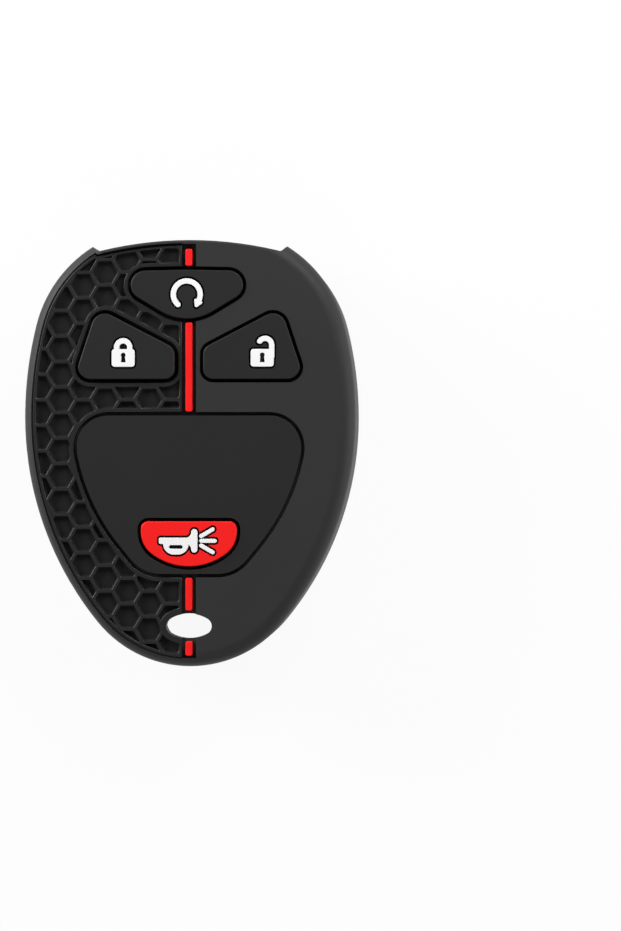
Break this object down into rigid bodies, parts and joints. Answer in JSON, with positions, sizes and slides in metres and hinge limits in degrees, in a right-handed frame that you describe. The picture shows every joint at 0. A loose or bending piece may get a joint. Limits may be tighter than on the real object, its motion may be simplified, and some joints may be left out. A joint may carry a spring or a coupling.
{
  "type": "key fob cover",
  "caption": "Egg-shaped silicone cover for a car remote, with a honeycomb half, a red centre stripe, press-through buttons and a key-ring eye.",
  "frame": {"origin": "under the middle of the cover, in the plane of its flat back", "axes": "+Z out of the button face, +Y towards the open mouth, +X to the right seen from the front"},
  "size_m": [0.043, 0.0552, 0.0162],
  "materials": {
    "black_silicone": "matte moulded silicone",
    "red_silicone": "satin moulded silicone",
    "white_silicone": "satin moulded silicone"
  },
  "bodies": {
    "cover": {"cover_shell": "black_silicone", "honeycomb_panel": "black_silicone", "red_strip_top": "red_silicone", "red_strip_middle": "red_silicone", "red_strip_lower": "red_silicone", "red_strip_tail": "red_silicone", "start_web": "black_silicone", "lock_web": "black_silicone", "unlock_web": "black_silicone", "panic_web": "black_silicone"},
    "start": {"start_button": "black_silicone", "start_icon": "white_silicone"},
    "lock": {"lock_button": "black_silicone", "lock_icon": "white_silicone"},
    "unlock": {"unlock_button": "black_silicone", "unlock_icon": "white_silicone"},
    "panic": {"panic_button": "black_silicone", "panic_inlay": "red_silicone", "horn_icon": "white_silicone", "horn_ray_upper": "white_silicone", "horn_ray_middle": "white_silicone", "horn_ray_lower": "white_silicone"}
  },
  "joints": [
    {"name": "start_press", "type": "slide", "parent": "cover", "child": "start", "axis": [0, 0, -1], "range_m": [0, 0.0008], "stiffness_N_per_m": 400, "deforming": ["start_web"]},
    {"name": "lock_press", "type": "slide", "parent": "cover", "child": "lock", "axis": [0, 0, -1], "range_m": [0, 0.0008], "stiffness_N_per_m": 400, "deforming": ["lock_web"]},
    {"name": "unlock_press", "type": "slide", "parent": "cover", "child": "unlock", "axis": [0, 0, -1], "range_m": [0, 0.0008], "stiffness_N_per_m": 400, "deforming": ["unlock_web"]},
    {"name": "panic_press", "type": "slide", "parent": "cover", "child": "panic", "axis": [0, 0, -1], "range_m": [0, 0.0008], "stiffness_N_per_m": 400, "deforming": ["panic_web"]}
  ]
}
